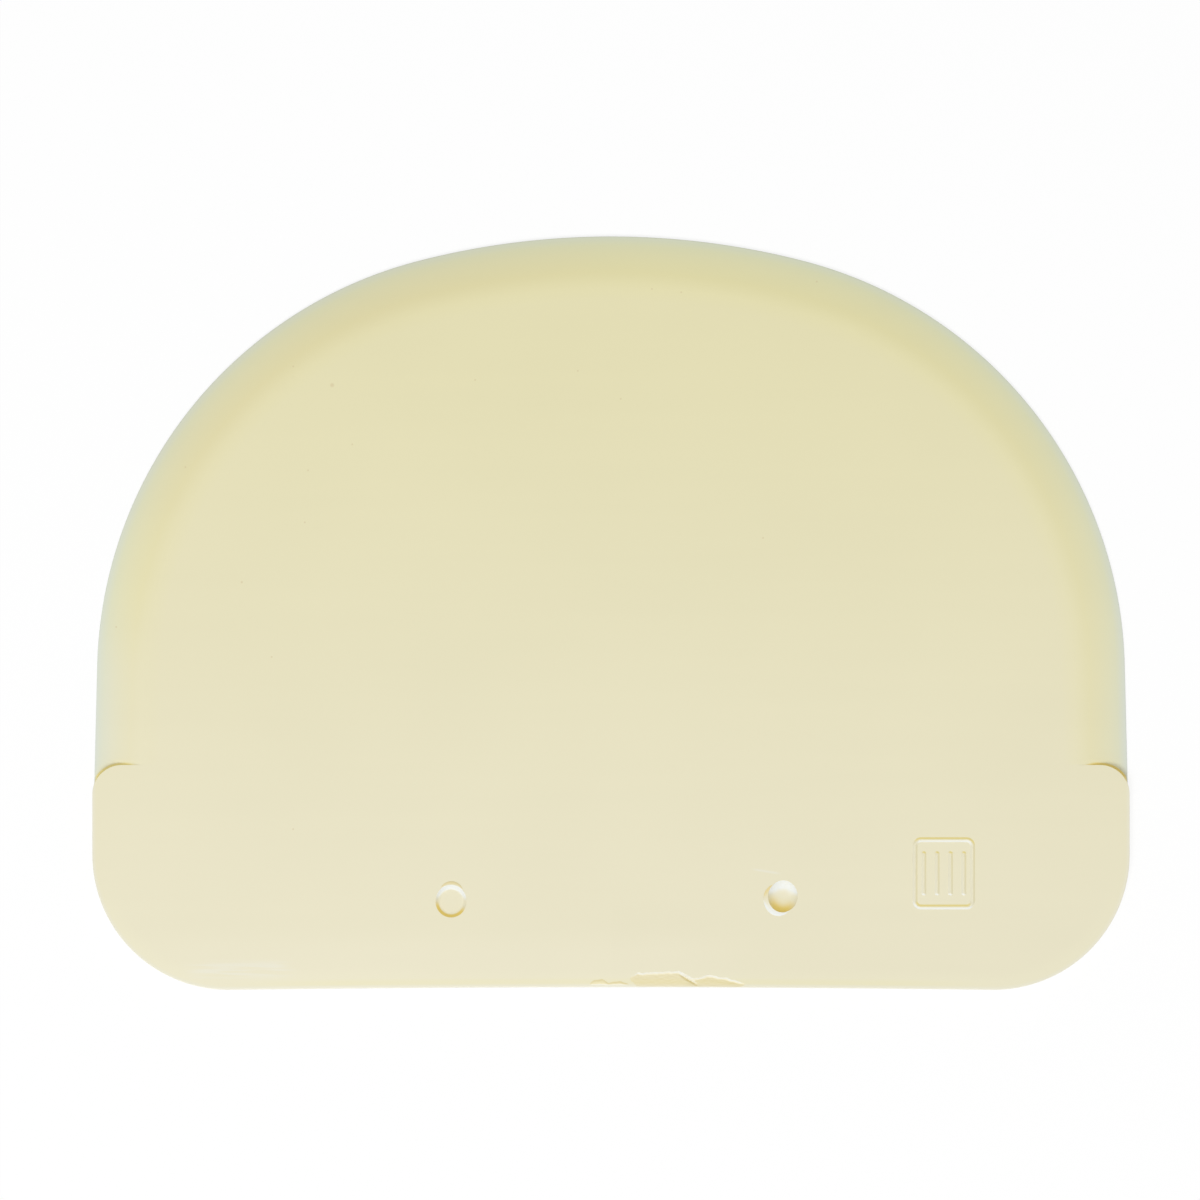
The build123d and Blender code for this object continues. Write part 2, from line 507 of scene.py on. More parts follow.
# Raised frame
# A plain rounded frame with four upright ribs, standing a little above the face. Its lines were
# cut into the mould with a small ball tool, so their sides are sloped and their tops are round.
frame_centre = Vector((51.2 * mm, grip_edge_y + 18.1 * mm, face_z))
frame_width = 9.6 * mm
frame_height = 11.1 * mm
frame_corner = 1.3 * mm
line_width = 0.75 * mm
line_slope = math.radians(35)
line_round = 0.18 * mm
line_steps = 6
frame_corner_steps = 12
rib_length = 6.8 * mm
rib_spacing = 2.05 * mm
rib_count = 4
rib_end_steps = 16
relief_root = 0.3 * mm


def line_shoulder():
    """The steps of a raised line's side: sloped at its foot and rounded into its top."""
    steps = rounding(line_round, line_slope, 0, line_steps)
    foot_rise = relief_height - rise_of(steps)
    return [(foot_rise / math.tan(line_slope), foot_rise)] + steps


def raise_relief(mesh, faces):
    """Lifts flat outlines to the plate's face and on to the top of the relief."""
    pulled = bmesh.ops.extrude_face_region(mesh, geom=faces)
    tops = [part for part in pulled["geom"] if isinstance(part, bmesh.types.BMFace)]
    corners = {vertex for top in tops for vertex in top.verts}
    bmesh.ops.translate(mesh, verts=list(corners), vec=(0, 0, relief_root))
    for inward, rise in line_shoulder():
        bmesh.ops.inset_region(
            mesh, faces=tops, thickness=inward, use_even_offset=True, use_boundary=True
        )
        corners = {vertex for top in tops for vertex in top.verts}
        bmesh.ops.translate(mesh, verts=list(corners), vec=(0, 0, rise))
    bmesh.ops.translate(
        mesh, verts=mesh.verts[:], vec=frame_centre - Vector((0, 0, relief_root))
    )


frame_mesh = bmesh.new()
corner = frame_mesh.verts.new((0, -frame_height / 2, 0))
corner = run_to(frame_mesh, corner, (frame_width / 2 - frame_corner, -frame_height / 2, 0))
corner_place = (frame_width / 2 - frame_corner, -frame_height / 2 + frame_corner, 0)
corner = sweep_round(frame_mesh, corner, corner_place, math.radians(90), frame_corner_steps)
corner = run_to(frame_mesh, corner, (frame_width / 2, frame_height / 2 - frame_corner, 0))
corner_place = (frame_width / 2 - frame_corner, frame_height / 2 - frame_corner, 0)
corner = sweep_round(frame_mesh, corner, corner_place, math.radians(90), frame_corner_steps)
run_to(frame_mesh, corner, (0, frame_height / 2, 0))
frame_face = mirror_and_face(frame_mesh)
frame_line = bmesh.ops.inset_region(
    frame_mesh, faces=[frame_face], thickness=line_width, use_even_offset=True, use_boundary=True
)["faces"]
bmesh.ops.delete(frame_mesh, geom=[frame_face], context="FACES")
raise_relief(frame_mesh, frame_line)
combine(scraper, finished_object("raised_frame", frame_mesh), "UNION")

for rib in range(rib_count):
    rib_x = (rib - (rib_count - 1) / 2) * rib_spacing
    half_line = line_width / 2
    rib_end = rib_length / 2 - half_line
    rib_mesh = bmesh.new()
    first = rib_mesh.verts.new((rib_x + half_line, -rib_end, 0))
    corner = run_to(rib_mesh, first, (rib_x + half_line, rib_end, 0))
    corner = sweep_round(rib_mesh, corner, (rib_x, rib_end, 0), math.pi, rib_end_steps)
    corner = run_to(rib_mesh, corner, (rib_x - half_line, -rib_end, 0))
    sweep_round(rib_mesh, corner, (rib_x, -rib_end, 0), math.pi, rib_end_steps)
    bmesh.ops.remove_doubles(rib_mesh, verts=rib_mesh.verts[:], dist=merge_reach)
    rib_face = bmesh.ops.contextual_create(rib_mesh, geom=rib_mesh.edges[:])["faces"]
    raise_relief(rib_mesh, rib_face)
    combine(scraper, finished_object("rib", rib_mesh), "UNION")

# Gate scar
# The plastic entered the mould through a thin gate on the grip edge. It was torn and trimmed off
# by hand, which left a ragged step with a hollow before it, one diagonal tear, and two low nubs
# beside them.
gate_margin = 0.3 * mm
gate_reach = 4.6 * mm
gate_cell = 0.08 * mm
hollow_depth = 0.13 * mm
hollow_foot = 0.62 * mm
hollow_room = 1.2 * mm
least_room = 0.1 * mm
hollow_lift = 0.1 * mm
hollow_fades = (3.4 * mm, 2.5 * mm)
hollow_grain = 0.02 * mm
step_width = 0.45 * mm
step_grain = 0.16 * mm
step_fine_grain = 0.05 * mm
step_line = [
    (1.4 * mm, 1.7 * mm),
    (4.1 * mm, 2.8 * mm),
    (7.3 * mm, 2.9 * mm),
    (10.4 * mm, 3.1 * mm),
    (12.8 * mm, 1.9 * mm),
    (14.9 * mm, 2.5 * mm),
    (18.1 * mm, 1.95 * mm),
    (22 * mm, 0.8 * mm),
]
tear_start = Vector((10.7 * mm, 2.45 * mm))
tear_end = Vector((13.2 * mm, 0.95 * mm))
tear_width = 0.24 * mm
tear_depth = 0.3 * mm
tear_grain = 0.05 * mm
nub_line = [
    (-3.6 * mm, 1 * mm),
    (-2.7 * mm, 1.6 * mm),
    (-1.4 * mm, 1.85 * mm),
    (-0.4 * mm, 1.25 * mm),
    (1.3 * mm, 1.55 * mm),
    (3.3 * mm, 0.85 * mm),
]
nub_fade = 0.8 * mm
nub_side = 0.35 * mm
nub_width = 1.7 * mm
nub_height = 0.07 * mm
nub_grain = 0.08 * mm
nub_unevenness = 0.3
nub_sink = 0.02 * mm
nub_root = 1.5 * mm
nub_inset = 0.03 * mm
cutter_overrun = 1 * mm
buried = 0.12 * mm


def ease(share):
    """Eases from 0 to 1 as share goes from 0 to 1, with no corner at either end."""
    share = min(1, max(0, share))
    return share * share * (3 - 2 * share)


def ragged(x, y, grain):
    """A fixed unevenness from -1 to 1, with grains of the given length."""
    return noise.noise(Vector((x / grain, y / grain, 0)))


def fade_at_ends(line, x, first, last):
    """Goes from 0 to 1 over the first stretch of a line and back to 0 over the last."""
    return ease((x - line[0][0]) / first) * ease((line[-1][0] - x) / last)


def wall_top(x):
    """How far above the grip edge's ends its wall meets the face, without the rounded rim."""
    drawn_in = edge_hollow * (1 - min(1, abs(x) / edge_end) ** 2)
    return drawn_in + face_z * math.tan(grip_draft)


def rim_drop(x, rise):
    """How far the rounded rim of the grip edge lies below the face."""
    inward = rise - wall_top(x)
    if inward > rim_round:
        return 0
    return rim_round - math.sqrt(rim_round**2 - (rim_round - inward) ** 2)


def hollow_cut(x, rise):
    """The depth of the torn hollow under the face, negative where nothing is torn away."""
    fade = fade_at_ends(step_line, x, *hollow_fades)
    top = level_along(step_line, x)
    top += step_grain * ragged(x, rise, 0.9 * mm) + step_fine_grain * ragged(x, rise, 0.35 * mm)
    room = top - hollow_foot
    inward = top - rise
    if fade <= 0 or room < least_room:
        return -buried
    step = min(step_width, room / 2)
    depth = hollow_depth * fade * ease(room / hollow_room)
    if inward < 0:
        cut = max(-buried, inward / 2)
    elif inward < step:
        cut = depth * math.sin(math.pi / 2 * inward / step)
    else:
        cut = max(-buried, depth * (1 - (inward - step) / (room - step)))
        cut += hollow_grain * fade * ragged(x * 0.3, rise, 0.22 * mm)
    cut -= hollow_lift * (1 - fade)

    tear = tear_end - tear_start
    to_place = Vector((x, rise)) - tear_start
    along_tear = min(1, max(0, to_place.dot(tear) / tear.length_squared))
    away = (to_place - tear * along_tear).length + tear_grain * ragged(x, rise, 0.4 * mm)
    if away < tear_width:
        deepest = tear_depth * math.sin(math.pi * (0.1 + 0.8 * along_tear))
        cut = max(cut, 0) + deepest * (1 - away / tear_width)
    return cut


def nub_rise(x, rise):
    """The height of the low nubs over the face: steep above, easing down towards the grip edge."""
    top = level_along(nub_line, x) + nub_grain * ragged(x, 0, 0.7 * mm)
    inward = top - rise
    fade = fade_at_ends(nub_line, x, nub_fade, nub_fade)
    if inward < nub_side:
        height = math.sin(math.pi / 2 * max(-1, inward / nub_side))
    else:
        height = 1 - (inward - nub_side) / (nub_width - nub_side)
    height *= 1 + nub_unevenness * ragged(x, rise, 0.5 * mm)
    height = nub_height * height * fade - nub_sink * (1 - fade)
    return min(max(height, -buried), relief_height)


def gate_sheet(line, height_of, first_rise, far_z, name):
    """A fine sheet along a line, shaped by a height for each place and closed by a flat side."""
    sheet_start = line[0][0] - gate_margin
    length = line[-1][0] + gate_margin - sheet_start
    mesh = bmesh.new()
    bmesh.ops.create_grid(
        mesh,
        x_segments=round(length / gate_cell),
        y_segments=round(gate_reach / gate_cell),
        size=0.5,
        matrix=Matrix.Diagonal((length, gate_reach, 1, 1)),
    )
    for vertex in mesh.verts:
        x = vertex.co.x + sheet_start + length / 2
        first = first_rise(x)
        rise = first + (gate_reach - first) * (vertex.co.y / gate_reach + 0.5)
        vertex.co = (x, grip_edge_y + rise, height_of(x, rise))
    sheet = mesh.faces[:]
    pulled = bmesh.ops.extrude_face_region(mesh, geom=sheet)
    for part in pulled["geom"]:
        if isinstance(part, bmesh.types.BMVert):
            part.co.z = far_z
    return finished_object(name, mesh)


def outside_wall(x):
    """Where the hollow's cutter starts, just outside the wall."""
    return 0


def inside_wall(x):
    """Where the nubs start, just inside the wall."""
    return wall_top(x) + nub_inset


def hollow_surface(x, rise):
    """The hollow's surface, a little over the face where nothing is torn away."""
    return face_z - hollow_cut(x, rise)


def nub_surface(x, rise):
    """The nubs' surface, buried in the plate beside them."""
    return face_z - rim_drop(x, rise) + nub_rise(x, rise)


nubs = gate_sheet(nub_line, nub_surface, inside_wall, face_z - nub_root, "nubs")
combine(scraper, nubs, "UNION")
cutter_top = face_z + cutter_overrun
cutter = gate_sheet(step_line, hollow_surface, outside_wall, cutter_top, "hollow_cutter")
combine(scraper, cutter, "DIFFERENCE")

# Ivory polypropylene
# The plate is one plastic, coloured through, with a soft sheen. Light passes where it is thin, so
# its edge looks paler and greener. Walls turned away from the lamp get painted amber and gold
# shade, and walls turned towards it get painted white highlights. The torn rim of the gate is
# white, strained plastic, with a painted highlight as well.
crease = math.radians(12)
torn_crease = math.radians(50)
flat_normal = 0.9999
level_margin = 0.005 * mm
frame_margin = 0.01 * mm
least_slope = 0.01
scar_depth = 0.7 * mm
stop_near = 1 * mm
left_mark_reach = 2.44 * mm
rim_reach = 1.2
burr_reach = 1.6

# The walls' painted highlights and shade are painted on the mesh, by how far each wall leans
# towards the lamp or away from it. Each pair holds the leans or distances between which a colour
# grows from nothing to full, and a third value is its strength.
sunny_way = Vector((-0.05, -1, 0))
shady_way = Vector((0.2, 0.98, 0))
left_white = (0.02, 0.28)
left_turn = (0.05, 0.6)
left_slope = (0.25, 0.6)
right_white = (-0.03, 0.22)
right_turn = (0, 1)
right_slope = (-0.08, 0.62)
burr_white = (0, 0.12)
burr_amber = (0, 0.12)
left_burr_amber = 0.4
right_burr_amber = 0.55
torn_white = (0.05, 0.4)
torn_amber = (0, 0.5)
torn_rim = (0.8 * mm, 0.35 * mm)
torn_rim_white = 0.5
torn_least_amber = 0.2
torn_more_amber = 0.35
torn_patches = 0.3
torn_patch_grain = 1.3 * mm
wall_amber = (0.15, 0.7)
right_stop_amber = 0.85
stop_fade = 0.5 * mm
relief_way = Vector((-0.3, -0.95, 0))
relief_white = (0.05, 0.45, 0.85)
relief_shade = (0.05, 0.45, 0.85)


def reach_of(place, pin, radius, stretch):
    """How far a place is from an ejector-pin mark's centre, in shares of its radius."""
    return math.hypot(place.x - pin.x, (place.y - pin.y) / stretch) / radius


def left_reach(place):
    """How far a place is from the left mark, where 1 is its rim."""
    return reach_of(place, left_dish, left_mark_reach, left_stretch)


def right_reach_of(place):
    """How far a place is from the right mark, where 1 is its rim."""
    return reach_of(place, right_pin, right_reach, right_stretch)


def is_in_scar(place):
    """Whether a place is in the gate scar."""
    along_scar = nub_line[0][0] < place.x < step_line[-1][0] + gate_margin
    return along_scar and place.y < grip_edge_y + gate_reach and place.z > face_z - scar_depth


def is_on_frame(place):
    """Whether a place is on the raised frame or its ribs."""
    past_centre = place - frame_centre
    within_x = abs(past_centre.x) < frame_width / 2 + line_width
    within_y = abs(past_centre.y) < frame_height / 2 + line_width
    return within_x and within_y and past_centre.z > -frame_margin


def stop_share(place):
    """1 on a stop's short wall and its foot, fading to 0 at the plate's outline and off them."""
    mirrored_place = Vector((abs(place.x), place.y, 0))
    past_corner = mirrored_place - wall_centre
    wall_gap = math.hypot(max(0, past_corner.x), max(0, past_corner.y)) - wall_line_radius
    over_bevel = place.z > bevel_z(mirrored_place) + level_margin
    near_corner = past_corner.x > -foot_run and past_corner.y > 0
    if not over_bevel or not near_corner or abs(wall_gap) > stop_near:
        return 0
    return ease((foot - mirrored_place).dot(side_out) / stop_fade)


def eased_lean(lean, limits):
    """How far a surface leans, or lies: from 0 at the first limit to 1 at the second."""
    return ease((lean - limits[0]) / (limits[1] - limits[0]))


soft_mesh = bmesh.new()
soft_mesh.from_mesh(scraper.data)
for face in soft_mesh.faces:
    face.smooth = True
for edge in soft_mesh.edges:
    middle = (edge.verts[0].co + edge.verts[1].co) / 2
    nearest_pin = min(left_reach(middle), right_reach_of(middle))
    sharpest = torn_crease if is_in_scar(middle) or nearest_pin < burr_reach else crease
    flat_sides = sum(face.normal.z > flat_normal for face in edge.link_faces)
    edge.smooth = edge.calc_face_angle(0) < sharpest and flat_sides != 1
soft_mesh.to_mesh(scraper.data)
soft_mesh.free()

# Painted highlight and shade on the walls: white where a wall leans towards the lamp, amber and
# gold shade where it turns away. The torn rim's white is strained plastic.
strain_and_highlight = scraper.data.attributes.new("strain_and_highlight", "FLOAT", "CORNER")
amber_shade = scraper.data.attributes.new("amber_shade", "FLOAT", "CORNER")
gold_wall_shade = scraper.data.attributes.new("gold_wall_shade", "FLOAT", "CORNER")
corner_ways = scraper.data.corner_normals
for polygon in scraper.data.polygons:
    if polygon.normal.z > flat_normal and polygon.center.z > face_z - level_margin:
        continue
    for index in polygon.loop_indices:
        spot = scraper.data.vertices[scraper.data.loops[index].vertex_index].co
        way = corner_ways[index].vector
        lean = way.dot(sunny_way)
        slope = math.hypot(way.x, way.y)
        is_left = spot.x < 0
        reach = left_reach(spot) if is_left else right_reach_of(spot)
        faces_in = way.dot(spot - (left_dish if is_left else right_pin)) < 0
        # A dish's wall: painted white highlight towards the lamp, painted amber shade turned away.
        if reach < 1 or reach < rim_reach and faces_in:
            shade = way.dot(shady_way) / max(slope, least_slope)
            turned_away = eased_lean(shade, left_turn if is_left else right_turn)
            steep = eased_lean(slope, left_slope if is_left else right_slope)
            strain_and_highlight.data[index].value = eased_lean(lean, left_white if is_left else right_white)
            amber_shade.data[index].value = turned_away * steep
        # A burr: painted white highlight towards the lamp, painted amber shade turned away.
        elif reach < burr_reach:
            burr_share = left_burr_amber if is_left else right_burr_amber
            strain_and_highlight.data[index].value = eased_lean(lean, burr_white)
            amber_shade.data[index].value = burr_share * eased_lean(-lean, burr_amber)
        # The gate scar: strained white along the torn rim, a painted white highlight on walls
        # towards the lamp, and painted amber shade over it, deeper on walls turned away.
        elif is_in_scar(spot):
            patchy = 1 - torn_patches + torn_patches * ragged(spot.x, spot.y, torn_patch_grain)
            rim_white = torn_rim_white * patchy * eased_lean(spot.y - grip_edge_y, torn_rim)
            wall_share = patchy * eased_lean(-lean, torn_amber)
            strain_and_highlight.data[index].value = max(rim_white, patchy * eased_lean(lean, torn_white))
            amber_shade.data[index].value = torn_least_amber + torn_more_amber * wall_share
        # The frame: painted white highlight on sides towards the lamp, painted gold shade on sides
        # away.
        elif is_on_frame(spot):
            lit = way.dot(relief_way)
            strain_and_highlight.data[index].value = relief_white[2] * eased_lean(lit, relief_white)
            gold_wall_shade.data[index].value = relief_shade[2] * eased_lean(-lit, relief_shade)
        else:
            # A stop's wall: painted gold shade, and on the right, turned from the lamp, amber shade
            # too.
            stop_wall_shade = stop_share(spot) * eased_lean(slope, wall_amber)
            gold_wall_shade.data[index].value = stop_wall_shade
            amber_shade.data[index].value = 0 if is_left else right_stop_amber * stop_wall_shade

even_shading = scraper.modifiers.new("even_shading", "WEIGHTED_NORMAL")
even_shading.keep_sharp = True
even_shading.weight = 100

face_colour = (0.79, 0.745, 0.515)
bevel_range = 10 * mm
bevel_colours = [
    (0, (0.702, 0.743, 0.653)),
    (1.4 * mm, (0.752, 0.753, 0.54)),
    (2.6 * mm, (0.777, 0.756, 0.512)),
    (4 * mm, (0.79, 0.754, 0.488)),
    (5.6 * mm, (0.8, 0.752, 0.47)),
    (8 * mm, (0.793, 0.747, 0.495)),
    (bevel_range, face_colour),
]
# Painted shade colours, amber and gold, a painted light colour, and a white for painted highlights,
# strained plastic, the scratch and the pale streaks.
shade_amber_colour = (0.85, 0.64, 0.15, 1)
gold_shade_colour = (0.95, 0.8, 0.29, 1)
lit_colour = (0.93, 0.86, 0.5, 1)
white_colour = (0.835, 0.866, 0.87, 1)
crown_shift = (0.99, 0.985, 0.875)
grip_shift = (1.01, 1.01, 1.07)

# Each pair of limits says where a tint or a mark starts to show and where it is full.
left_low_shift = (0.995, 1, 1.08)
left_low_x = (-45 * mm, -70 * mm)
left_low_y = (5 * mm, -12 * mm)
left_low_gap = (0.5 * mm, 1.8 * mm)
left_high_shift = (0.98, 0.965, 0.98)
left_high_x = (15 * mm, -35 * mm)
left_high_y = (0, 30 * mm)
strip_light_shift = (1.015, 1.02, 1.015)
strip_gap = (3.5 * mm, 1 * mm)
strip_y = (side_start, grip_edge_y + 6 * mm)
warm_shift = (1, 0.995, 0.925)
warm_start = (0.5 * mm, 0.8 * mm)
warm_end = (1.8 * mm, 1.1 * mm)
warm_side = (62 * mm, 40 * mm)
rim_highlight_shift = (1, 1.02, 1.12)
rim_tint_gap = (0.9 * mm, 0.2 * mm)
band_shift = (1.015, 1.015, 1.03)
band_offset = 26 * mm
band_reach = (50 * mm, 36 * mm)
band_y = (grip_edge_y + 11 * mm, grip_edge_y + 5 * mm)

# Painted light beside the stops' walls, and marks in the plastic and on its face.
wall_edge = (0.03 * mm, 0.12 * mm)
beside_wall_reach = (0.9 * mm, -0.1 * mm)
beside_wall_gap = (8 * mm, 5 * mm)
beside_wall_strength = 0.25
speck_colour = (0.62, 0.5, 0.27, 1)
speck_strength = 0.45
streak_stretch = (18, 260, 1)
streak_strength = 0.018
cloud_scale = 28.0
cloud_strength = 0.03
flow_line_x = (-0.4 * mm, 0.4 * mm)
flow_line_y = (grip_edge_y + 15 * mm, grip_edge_y + 12 * mm)
flow_line_strength = 0.006
scratch_centre = (23.9 * mm, -39.7 * mm, 0)
scratch_turn = math.radians(-9)
scratch_width = (0.3 * mm, 0)
scratch_length = (2.6 * mm, 1.2 * mm)
scratch_strength = 0.25
pale_streak_rise = 3.3 * mm
pale_streak_offset = 57 * mm
pale_streak_width = (1.8 * mm, 0.5 * mm)
pale_streak_length = (9.5 * mm, 5 * mm)
pale_streak_stretch = (120, 1600, 1)
pale_streak_gaps = (0.35, 0.62)
pale_streak_strength = 0.22

# Patches in the painted white highlights and the strained white, and the sheen.
white_patch_scale = 2500.0
white_cover = 0.8
white_patches = 0.4
stoned_scale = 5200.0
stoned_bump = 0.05
stoned_depth = 0.02 * mm
plastic_roughness = 0.38
cloud_roughness = 0.12
stoned_roughness = 0.06
white_roughness = 0.25
specks = [
    (31.7 * mm, 51.1 * mm, 0.2 * mm),
    (1.5 * mm, 33 * mm, 0.2 * mm),
    (-20.9 * mm, 35.9 * mm, 0.2 * mm),
    (-42.9 * mm, 35.1 * mm, 0.45 * mm),
    (-48.9 * mm, 38 * mm, 0.2 * mm),
    (-46.6 * mm, 22 * mm, 0.2 * mm),
    (-47.1 * mm, 14 * mm, 0.2 * mm),
    (-56.8 * mm, 4.8 * mm, 0.25 * mm),
    (-52.2 * mm, -6.7 * mm, 0.2 * mm),
    (-48.9 * mm, -33.2 * mm, 0.2 * mm),
    (-65.5 * mm, 22.5 * mm, 0.2 * mm),
    (-76.2 * mm, -2.1 * mm, 0.2 * mm),
    (-39.8 * mm, 26 * mm, 0.2 * mm),
    (-5.1 * mm, 37.3 * mm, 0.2 * mm),
    (10.8 * mm, 49.4 * mm, 0.2 * mm),
    (6.3 * mm, 49.9 * mm, 0.2 * mm),
    (23.4 * mm, 11.6 * mm, 0.2 * mm),
]

plastic = bpy.data.materials.new("ivory_polypropylene")
plastic.use_nodes = True
shader = plastic.node_tree.nodes["Principled BSDF"]


class Pattern:
    """An output of a node in the plastic's material, which takes part in Python arithmetic."""

    def __init__(self, socket):
        self.socket = socket

    @staticmethod
    def node(kind, settings, inputs, output=0):
        """Adds a node with its settings and inputs, and wraps one of its outputs."""
        made = plastic.node_tree.nodes.new(kind)
        for name, value in settings.items():
            setattr(made, name, value)
        for name, value in inputs.items():
            if isinstance(value, Pattern):
                plastic.node_tree.links.new(value.socket, made.inputs[name])
            else:
                made.inputs[name].default_value = value
        return Pattern(made.outputs[output])

    @staticmethod
    def math(operation, *values):
        """Adds a Math node."""
        return Pattern.node("ShaderNodeMath", {"operation": operation}, dict(enumerate(values)))

    def __add__(self, other):
        return Pattern.math("ADD", self, other)

    def __radd__(self, other):
        return Pattern.math("ADD", other, self)

    def __sub__(self, other):
        return Pattern.math("SUBTRACT", self, other)

    def __rsub__(self, other):
        return Pattern.math("SUBTRACT", other, self)

    def __mul__(self, other):
        return Pattern.math("MULTIPLY", self, other)

    def __rmul__(self, other):
        return Pattern.math("MULTIPLY", other, self)

    def __truediv__(self, other):
        return Pattern.math("DIVIDE", self, other)

    def __abs__(self):
        return Pattern.math("ABSOLUTE", self)


def faded(value, low, high):
    """Goes smoothly from 0 where a pattern is low to 1 where it is high."""
    return Pattern.node(
        "ShaderNodeMapRange",
        {"interpolation_type": "SMOOTHSTEP"},
        {"Value": value, "From Min": low, "From Max": high, "To Min": 0.0, "To Max": 1.0},
    )


def length_of(across, up):
    """The length of a flat step."""
    return Pattern.math("SQRT", across * across + up * up)


def blended(first, second, share):
    """Mixes two colours."""
    settings = {"data_type": "RGBA", "blend_type": "MIX"}
    return Pattern.node("ShaderNodeMix", settings, {0: share, 6: first, 7: second}, 2)


def tinted(colour, factor):
    """Multiplies a colour by a number or by another colour."""
    return Pattern.node("ShaderNodeVectorMath", {"operation": "MULTIPLY"}, {0: colour, 1: factor})


def shifted(colour, shift, share):
    """Multiplies a colour by a shift where the share is 1, and leaves it where that is 0."""
    return tinted(colour, blended((1, 1, 1, 1), (*shift, 1), share))


def painted(name):
    """How strongly the mesh's own attribute of that name marks a place."""
    settings = {"attribute_type": "GEOMETRY", "attribute_name": name}
    return Pattern.node("ShaderNodeAttribute", settings, {}, "Fac")


def grain(place, scale, detail):
    """Soft noise around a half."""
    inputs = {"Vector": place, "Scale": scale, "Detail": detail, "Roughness": 0.5}
    return Pattern.node("ShaderNodeTexNoise", {"noise_dimensions": "3D"}, inputs)


def stretched(place, factors):
    """Coordinates that stretch a pattern."""
    inputs = {"Vector": place, "Scale": factors}
    return Pattern.node("ShaderNodeMapping", {"vector_type": "POINT"}, inputs)


place = Pattern.node("ShaderNodeTexCoord", {}, {}, "Object")
x = Pattern.node("ShaderNodeSeparateXYZ", {}, {0: place}, 0)
y = Pattern.node("ShaderNodeSeparateXYZ", {}, {0: place}, 1)
z = Pattern.node("ShaderNodeSeparateXYZ", {}, {0: place}, 2)
side = abs(x)

# How far a place lies inside the arch: from its crown, its shoulder or its leaning side.
crown_gap = crown_radius - length_of(x, y - crown_centre.y)
shoulder_gap = shoulder_radius - length_of(side - shoulder_centre.x, y - shoulder_centre.y)
side_gap = (foot.x - side) * side_out.x + (foot.y - y) * side_out.y
past_crown = side * meeting.y - (y - crown_centre.y) * meeting.x
past_shoulder = (side - shoulder_centre.x) * side_up.x + (y - shoulder_centre.y) * side_up.y
in_shoulder = Pattern.math("GREATER_THAN", past_crown, 0)
on_side = Pattern.math("LESS_THAN", past_shoulder, 0)
arch_gap = crown_gap + (shoulder_gap - crown_gap) * in_shoulder
arch_gap = arch_gap + (side_gap - arch_gap) * on_side * in_shoulder

# The grip band has its full thickness up to its leaning walls, so the blade's colours start there.
past_stop_x = Pattern.math("MAXIMUM", side - (width / 2 - stop_radius), 0)
past_stop_y = Pattern.math("MAXIMUM", y - side_end, 0)
past_grip = length_of(past_stop_x, past_stop_y) - stop_radius
past_wall = past_grip + z * math.tan(grip_draft)
on_blade = faded(past_wall, *wall_edge)
thin_share = arch_gap / bevel_range

# The blade's colour changes inwards from its lip: paler and greener where the plastic is thin,
# then yellower in a band of painted shade partway up the bevel. On the left side painted light
# makes it a little bluer low down, and painted shade makes it duller high up.
depth_ramp = plastic.node_tree.nodes.new("ShaderNodeValToRGB")
for index, (gap, ramp_colour) in enumerate(bevel_colours):
    stops = depth_ramp.color_ramp.elements
    stop = stops[index] if index < 2 else stops.new(gap / bevel_range)
    stop.position = gap / bevel_range
    stop.color = (*ramp_colour, 1)
plastic.node_tree.links.new(thin_share.socket, depth_ramp.inputs["Fac"])
colour = Pattern(depth_ramp.outputs["Color"])
bevel_share = faded(arch_gap, bevel_range, bevel_range / 2)
left_low = faded(x, *left_low_x) * faded(y, *left_low_y) * bevel_share
left_low = left_low * faded(arch_gap, *left_low_gap)
colour = shifted(colour, left_low_shift, left_low)
left_high = faded(y, *left_high_y) * faded(x, *left_high_x) * bevel_share
colour = shifted(colour, left_high_shift, left_high)
colour = blended((*face_colour, 1), colour, on_blade)

# Along the grip edge painted light makes the face a little lighter, with a warm line beside a
# painted highlight on its rim.
low_x = Pattern.math("MAXIMUM", side - edge_end, 0)
low_y = Pattern.math("MAXIMUM", side_start - y, 0)
edge_share = Pattern.math("MINIMUM", side / edge_end, 1)
hollow_gap = edge_hollow * (1 - edge_share * edge_share)
rim_gap = grip_corner_radius - length_of(low_x, low_y) - hollow_gap
painted_light_strip = faded(rim_gap, *strip_gap) * faded(y, *strip_y)
colour = shifted(colour, strip_light_shift, painted_light_strip)
warm_line = faded(rim_gap, *warm_start) * faded(rim_gap, *warm_end)
warm_line = warm_line * faded(side, *warm_side) * faded(y, *strip_y)
colour = shifted(colour, warm_shift, warm_line)
rim_highlight = faded(rim_gap, *rim_tint_gap) * (1 - on_blade)
colour = shifted(colour, rim_highlight_shift, rim_highlight)

# A painted sheen makes the whole plate whiter and cooler at its grip, and warmer at its crown.
lengthwise = faded(y, grip_edge_y, crown_y)
colour = tinted(colour, blended((*grip_shift, 1), (*crown_shift, 1), lengthwise))

# The melt ran out from the gate, which left faint streaks and clouds in the colour.
streaks = grain(stretched(place, streak_stretch), 1.0, 2.0)
clouds = grain(place, cloud_scale, 2.0)
tone = 1 + (streaks - 0.5) * streak_strength + (clouds - 0.5) * cloud_strength
flow_line = faded(x, *flow_line_x) * faded(y, *flow_line_y)
tone = tone - flow_line * flow_line_strength
colour = tinted(colour, tone)
# Low on the left, painted light makes the face a little lighter and bluer.
low_band = faded(y, *band_y) * faded(abs(x + band_offset), *band_reach)
colour = shifted(colour, band_shift, low_band)

